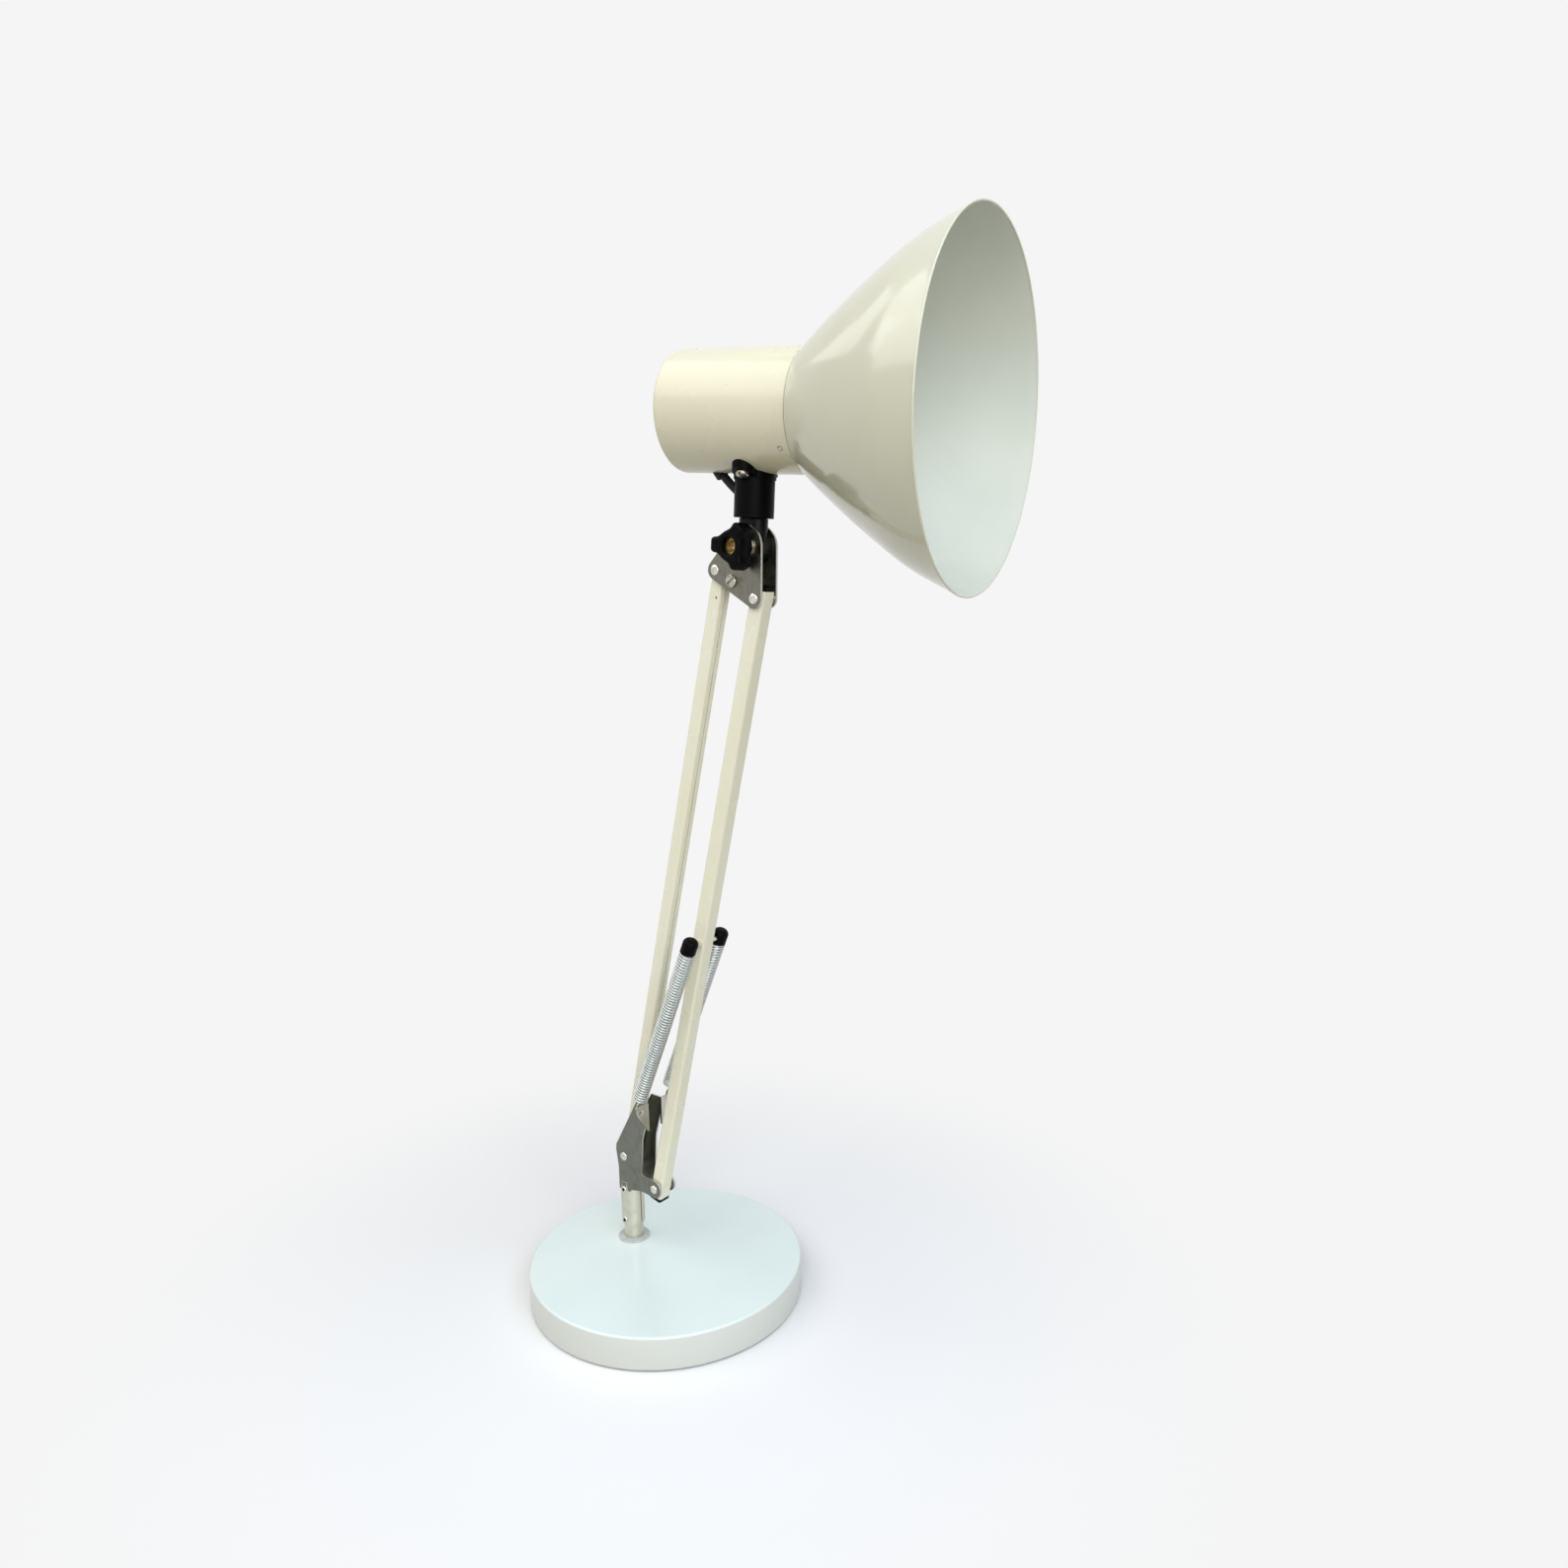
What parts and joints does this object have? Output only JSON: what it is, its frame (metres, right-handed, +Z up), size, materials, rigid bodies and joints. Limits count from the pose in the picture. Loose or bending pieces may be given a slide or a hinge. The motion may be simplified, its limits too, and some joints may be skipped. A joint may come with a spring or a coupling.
{
  "type": "architect lamp",
  "caption": "Desk lamp on a weighted round base, with a sprung parallelogram arm and a flared metal shade that swivels and tilts.",
  "frame": {"origin": "foot of the post's swivel axis, on the surface that the base rests on", "axes": "+Z up; the arm moves in the XZ plane and leans towards +X, where the shade looks; the knob is on the -Y side"},
  "size_m": [0.3226, 0.2088, 0.6457],
  "materials": {
    "base_enamel": "satin",
    "cast_weight": "rough",
    "felt": "matt",
    "grey_bush": "satin",
    "bracket_steel": "brushed",
    "rivet_steel": "polished",
    "screw_steel": "zinc plated",
    "spring_wire": "zinc plated wire",
    "cream_enamel": "gloss",
    "black_plastic": "satin",
    "black_metal": "satin",
    "brass": "aged",
    "flex_black": "matt",
    "holder_black": "moulded"
  },
  "bodies": {
    "base": {"base_cover": "base_enamel", "base_weight": "cast_weight", "base_pad": "felt", "base_bush": "grey_bush", "bush_nut": "screw_steel"},
    "bracket": {"swivel_pin": "bracket_steel", "bracket_plate_near": "bracket_steel", "bracket_plate_far": "bracket_steel", "post_pins": "rivet_steel", "lower_front_rivet": "rivet_steel", "lower_rear_rivet": "rivet_steel", "lower_washers": "rivet_steel"},
    "front_arm": {"front_tube": "cream_enamel", "front_tube_plugs": "black_plastic", "spring_pin": "rivet_steel", "spring_plugs": "black_plastic"},
    "rear_arm": {"rear_tube": "cream_enamel", "rear_tube_plugs": "black_plastic"},
    "springs": {"spring_near": "spring_wire", "spring_far": "spring_wire"},
    "upper_bracket": {"upper_plate_near": "bracket_steel", "upper_plate_far": "bracket_steel", "upper_front_rivet": "rivet_steel", "upper_rear_rivet": "rivet_steel", "upper_washers": "rivet_steel", "spacer_sleeve": "screw_steel", "spacer_screw": "screw_steel", "spacer_nut": "screw_steel", "clamp_bolt": "screw_steel", "knob_washer": "rivet_steel"},
    "knob": {"knob": "black_plastic", "knob_insert": "brass"},
    "knuckle": {"knuckle": "black_metal", "stem_washer": "rivet_steel", "stem_screw": "screw_steel"},
    "head": {"swivel_sleeve": "black_plastic", "saddle_screws": "screw_steel", "housing": "cream_enamel", "flex": "flex_black", "flex_grommet": "flex_black", "shade": "cream_enamel", "shade_screws": "screw_steel", "holder_plate": "bracket_steel", "lamp_holder": "holder_black", "holder_shell": "brass", "holder_contact": "brass"}
  },
  "joints": [
    {"name": "post_swivel", "type": "hinge", "parent": "base", "child": "bracket", "pos_m": [0, 0, 0.04], "axis": [0, 0, 1], "continuous": true},
    {"name": "arm_lean", "type": "hinge", "parent": "bracket", "child": "front_arm", "pos_m": [0.0285, 0, 0.0713], "axis": [0, 1, 0], "range_deg": [-20, 50], "deforming": ["spring_near", "spring_far"]},
    {"name": "rear_arm_lean", "type": "hinge", "parent": "bracket", "child": "rear_arm", "pos_m": [0.0004, 0, 0.0873], "axis": [0, 1, 0], "range_deg": [-20.5, 50.5]},
    {"name": "spring_swing", "type": "hinge", "parent": "bracket", "child": "springs", "pos_m": [0.0244, 0, 0.1284], "axis": [0, 1, 0], "range_deg": [-26, 64]},
    {"name": "upper_bracket_level", "type": "hinge", "parent": "front_arm", "child": "upper_bracket", "pos_m": [0.12404, 0, 0.46322], "axis": [0, 1, 0], "range_deg": [-50.5, 20.5]},
    {"name": "knob_turn", "type": "hinge", "parent": "upper_bracket", "child": "knob", "pos_m": [0.1181, 0, 0.4914], "axis": [0, -1, 0], "range_deg": [-20, 340]},
    {"name": "head_tilt", "type": "hinge", "parent": "upper_bracket", "child": "knuckle", "pos_m": [0.1181, 0, 0.4914], "axis": [0, 1, 0], "range_deg": [-60, 60]},
    {"name": "head_turn", "type": "hinge", "parent": "knuckle", "child": "head", "pos_m": [0.11937, 0, 0.51136], "axis": [0.0637, 0, 0.998], "range_deg": [-100, 80]}
  ],
  "couplings": [
    {"joint": "rear_arm_lean", "follows": "arm_lean", "ratio": 1},
    {"joint": "upper_bracket_level", "follows": "arm_lean", "ratio": -1},
    {"joint": "spring_swing", "follows": "arm_lean", "ratio": 1.27}
  ]
}
